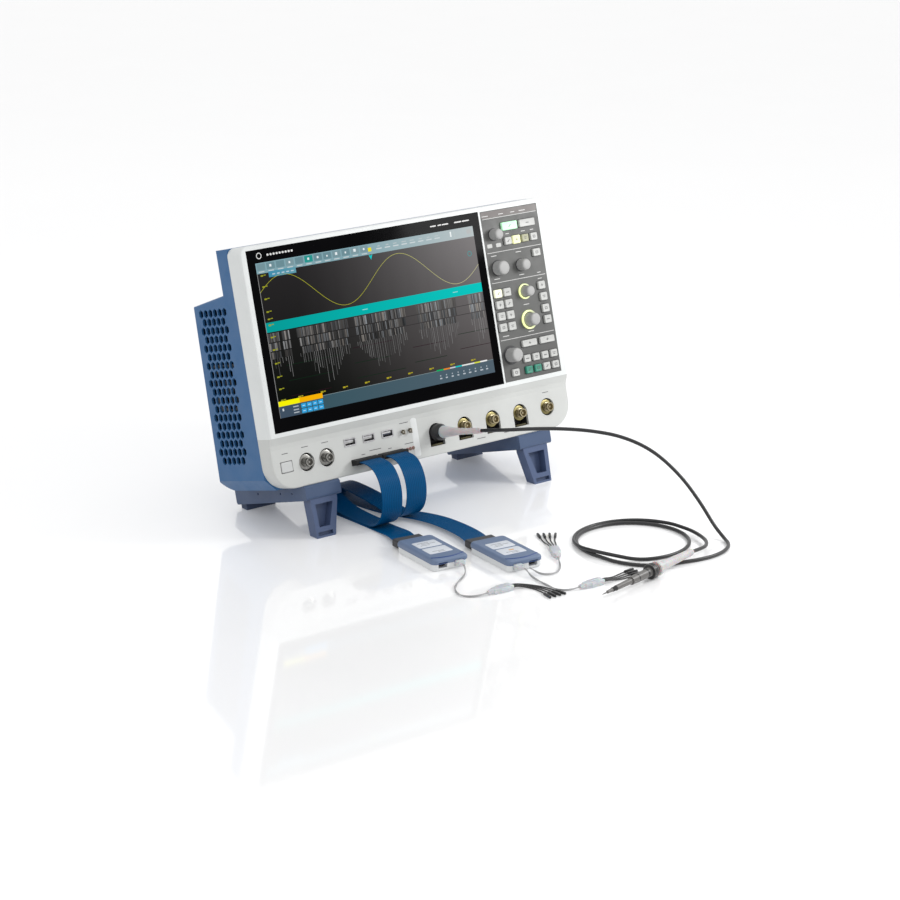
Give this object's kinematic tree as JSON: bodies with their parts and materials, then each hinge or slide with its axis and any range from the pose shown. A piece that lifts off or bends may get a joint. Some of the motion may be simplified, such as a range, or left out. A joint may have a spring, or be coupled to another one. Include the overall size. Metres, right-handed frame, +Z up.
{
  "type": "mixed-signal logic analyzer",
  "caption": "Bench mixed-signal analyzer leaning on fold-out legs, with screen, keypad, knobs and BNC inputs, logic pods on flat ribbons and a coiled passive probe.",
  "frame": {"origin": "on the bench, under the middle of the instrument's own box, without its cords, pods and probe", "axes": "+X to the right of a person facing the screen, +Y from the front to the rear, +Z up"},
  "size_m": [0.414, 0.5175, 0.3107],
  "materials": {
    "bezel_white": "fine moulded texture",
    "strip_grey": "fine moulded texture",
    "cover_glass": "polished cover glass",
    "display_module": "satin",
    "panel_grey": "matt",
    "board_green": "solder mask",
    "encoder_metal": "satin",
    "light_ring": "diffuser",
    "silver_bnc": "nickel plate",
    "gold_bnc": "gold plate",
    "well_black": "matt",
    "socket_steel": "stamped",
    "socket_black": "matt",
    "tin_plate": "tin plate",
    "shell_blue": "fine moulded texture",
    "rear_metal": "powder coat",
    "chassis_steel": "zinc plate",
    "fan_black": "satin",
    "rail_blue": "fine moulded texture",
    "leg_blue": "fine moulded texture",
    "pin_steel": "turned",
    "foot_rubber": "matt",
    "handle_grey": "fine moulded texture",
    "power_white": "satin",
    "knob_grey": "soft touch",
    "key_grey": "satin",
    "run_green": "lit key",
    "plug_grey": "matt",
    "plug_black": "satin",
    "pod_lid_blue": "fine moulded texture",
    "pod_base_white": "fine moulded texture",
    "relief_rubber": "matt",
    "ribbon_blue": "pvc ribbon",
    "lead_white": "pvc",
    "wire_black": "silicone",
    "housing_clear": "frosted clear",
    "boot_clear": "translucent",
    "cable_black": "satin jacket",
    "probe_grey": "satin"
  },
  "bodies": {
    "case": {"front_frame": "bezel_white", "connector_strip": "strip_grey", "display_glass": "cover_glass", "lcd_module": "display_module", "control_panel": "panel_grey", "keypad_board": "board_green", "encoder_bodies": "encoder_metal", "light_rings": "light_ring", "generator_sockets": "silver_bnc", "channel_sockets": "gold_bnc", "socket_cups": "well_black", "probe_contacts": "gold_bnc", "usb_sockets": "socket_steel", "logic_sockets": "socket_black", "demo_lugs": "tin_plate", "rear_shell": "shell_blue", "vent_grilles": "shell_blue", "rear_panel": "rear_metal", "rear_sockets": "socket_steel", "front_chassis": "chassis_steel", "main_board": "board_green", "power_supply": "chassis_steel", "fan_frame": "fan_black", "base_rails": "rail_blue", "hinge_pins": "pin_steel", "rear_feet": "foot_rubber", "handle_mounts": "handle_grey", "case_screws": "pin_steel", "logic_plugs": "plug_grey", "probe_plug": "plug_black", "pod_upper_shells": "pod_lid_blue", "pod_lower_shells": "pod_base_white", "pod_reliefs": "relief_rubber", "ribbon_left": "ribbon_blue", "ribbon_right": "ribbon_blue", "lead_cords": "lead_white", "fly_wires": "wire_black", "lead_connectors": "housing_clear", "probe_boots": "boot_clear", "probe_cable": "cable_black", "probe_coil": "cable_black", "probe_handle": "probe_grey"},
    "fan_rotor": {"fan_rotor": "fan_black"},
    "left_leg": {"left_leg": "leg_blue"},
    "right_leg": {"right_leg": "leg_blue"},
    "carry_handle": {"carry_handle": "handle_grey"},
    "trigger_knob": {"trigger_knob": "knob_grey"},
    "time_scale_knob": {"time_scale_knob": "knob_grey"},
    "time_position_knob": {"time_position_knob": "knob_grey"},
    "level_position_knob": {"level_position_knob": "knob_grey"},
    "level_scale_knob": {"level_scale_knob": "knob_grey"},
    "menu_knob": {"menu_knob": "knob_grey"},
    "power_key": {"power_key": "power_white"},
    "run_stop_key": {"run_stop_key": "run_green"},
    "single_key": {"single_key": "key_grey"},
    "trigger_keys": {"trigger_keys": "key_grey"},
    "zoom_key": {"zoom_key": "key_grey"},
    "channel_keys": {"channel_keys": "key_grey"},
    "menu_keys": {"menu_keys": "key_grey"},
    "function_keys": {"function_keys": "key_grey"}
  },
  "joints": [
    {"name": "fan_spin", "type": "hinge", "parent": "case", "child": "fan_rotor", "pos_m": [-0.195, 0.01402, 0.15075], "axis": [1, 0, 0], "continuous": true},
    {"name": "left_leg_fold", "type": "hinge", "parent": "case", "child": "left_leg", "pos_m": [-0.1485, -0.07451, 0.04645], "axis": [1, 0, 0], "range_deg": [0, 90]},
    {"name": "right_leg_fold", "type": "hinge", "parent": "case", "child": "right_leg", "pos_m": [0.1485, -0.07451, 0.04645], "axis": [1, 0, 0], "range_deg": [0, 90]},
    {"name": "handle_swing", "type": "hinge", "parent": "case", "child": "carry_handle", "pos_m": [0, 0.02606, 0.2542], "axis": [1, 0, 0], "range_deg": [0, 90]},
    {"name": "trigger_knob_turn", "type": "hinge", "parent": "case", "child": "trigger_knob", "pos_m": [0.131, -0.0274, 0.27924], "axis": [0, 0.9688, -0.248], "continuous": true},
    {"name": "time_scale_knob_turn", "type": "hinge", "parent": "case", "child": "time_scale_knob", "pos_m": [0.1306, -0.0368, 0.24252], "axis": [0, 0.9688, -0.248], "continuous": true},
    {"name": "time_position_knob_turn", "type": "hinge", "parent": "case", "child": "time_position_knob", "pos_m": [0.1637, -0.03703, 0.24165], "axis": [0, 0.9688, -0.248], "continuous": true},
    {"name": "level_position_knob_turn", "type": "hinge", "parent": "case", "child": "level_position_knob", "pos_m": [0.1632, -0.04452, 0.2124], "axis": [0, 0.9688, -0.248], "continuous": true},
    {"name": "level_scale_knob_turn", "type": "hinge", "parent": "case", "child": "level_scale_knob", "pos_m": [0.1636, -0.0525, 0.1812], "axis": [0, 0.9688, -0.248], "continuous": true},
    {"name": "menu_knob_turn", "type": "hinge", "parent": "case", "child": "menu_knob", "pos_m": [0.1296, -0.06128, 0.14691], "axis": [0, 0.9688, -0.248], "continuous": true},
    {"name": "power_key_press", "type": "slide", "parent": "case", "child": "power_key", "axis": [0, 0.9688, -0.248], "range_m": [0, 0.0012], "stiffness_N_per_m": 500},
    {"name": "run_stop_key_press", "type": "slide", "parent": "case", "child": "run_stop_key", "axis": [0, 0.9688, -0.248], "range_m": [0, 0.0012], "stiffness_N_per_m": 500},
    {"name": "single_key_press", "type": "slide", "parent": "case", "child": "single_key", "axis": [0, 0.9688, -0.248], "range_m": [0, 0.0012], "stiffness_N_per_m": 500},
    {"name": "trigger_keys_press", "type": "slide", "parent": "case", "child": "trigger_keys", "axis": [0, 0.9688, -0.248], "range_m": [0, 0.0012], "stiffness_N_per_m": 900},
    {"name": "zoom_key_press", "type": "slide", "parent": "case", "child": "zoom_key", "axis": [0, 0.9688, -0.248], "range_m": [0, 0.0012], "stiffness_N_per_m": 500},
    {"name": "channel_keys_press", "type": "slide", "parent": "case", "child": "channel_keys", "axis": [0, 0.9688, -0.248], "range_m": [0, 0.0012], "stiffness_N_per_m": 900},
    {"name": "menu_keys_press", "type": "slide", "parent": "case", "child": "menu_keys", "axis": [0, 0.9688, -0.248], "range_m": [0, 0.0012], "stiffness_N_per_m": 900},
    {"name": "function_keys_press", "type": "slide", "parent": "case", "child": "function_keys", "axis": [0, 0.9688, -0.248], "range_m": [0, 0.0012], "stiffness_N_per_m": 900}
  ]
}
